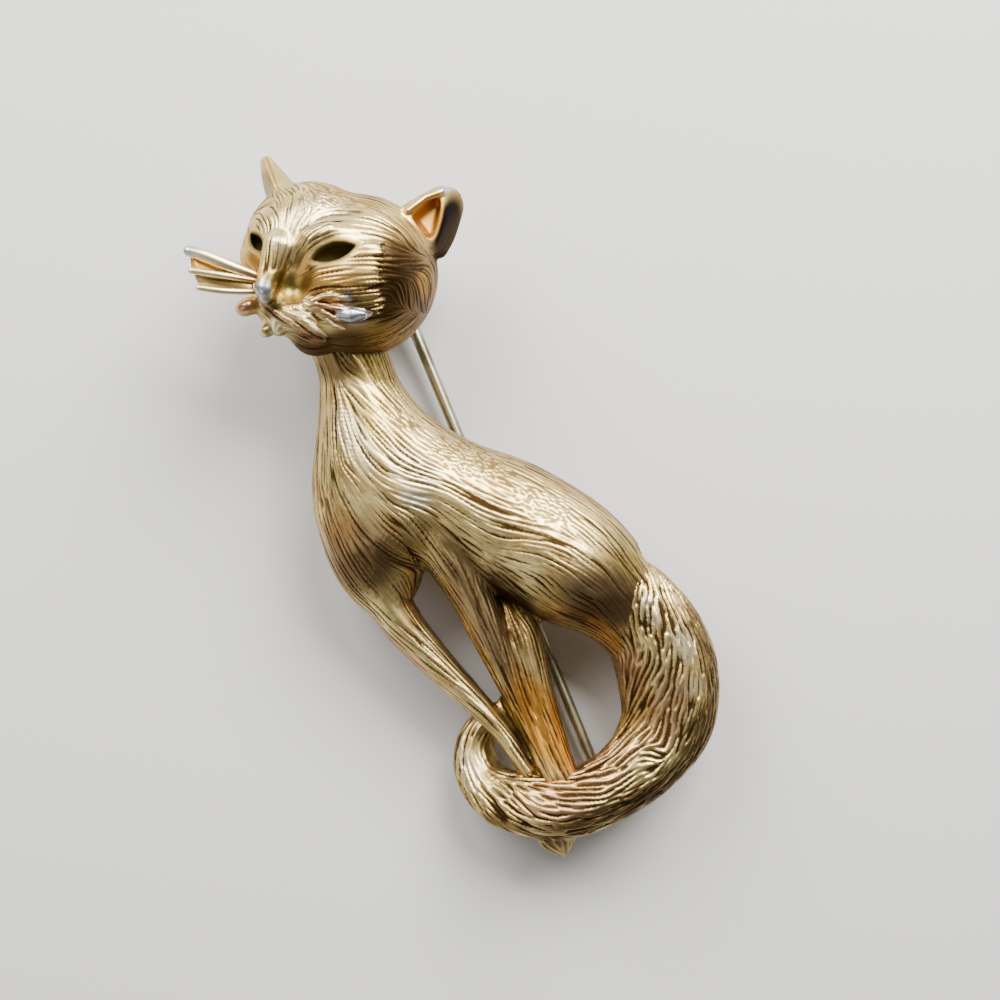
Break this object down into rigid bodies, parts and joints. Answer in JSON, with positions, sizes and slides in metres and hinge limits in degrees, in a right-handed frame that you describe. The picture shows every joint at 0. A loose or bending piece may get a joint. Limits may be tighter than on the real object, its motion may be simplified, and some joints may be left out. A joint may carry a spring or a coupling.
{
  "type": "figural cat brooch",
  "caption": "Seated cat brooch, cast hollow-backed in gold-tone metal with engraved fur, pierced eyes and whiskers, and a hinged pin stem with a hook catch.",
  "frame": {"origin": "on the table that the brooch lies on, in the middle of its outline", "axes": "+Z out of the front of the figure, +Y along the pin stem from the joint to the head, +X towards the outside of the tail"},
  "size_m": [0.0264, 0.06, 0.0155],
  "materials": {
    "gold_casting": "antiqued gold plate, engraved, with dark grooves and worn high spots",
    "steel": "drawn wire, dulled"
  },
  "bodies": {
    "casting": {"figure": "gold_casting", "hinge_rivet": "steel"},
    "stem": {"pin_stem": "steel"}
  },
  "joints": [
    {"name": "stem_hinge", "type": "hinge", "parent": "casting", "child": "stem", "pos_m": [0.00052, -0.0267, 0.0017], "axis": [-1, 0, 0], "range_deg": [0, 75]}
  ]
}
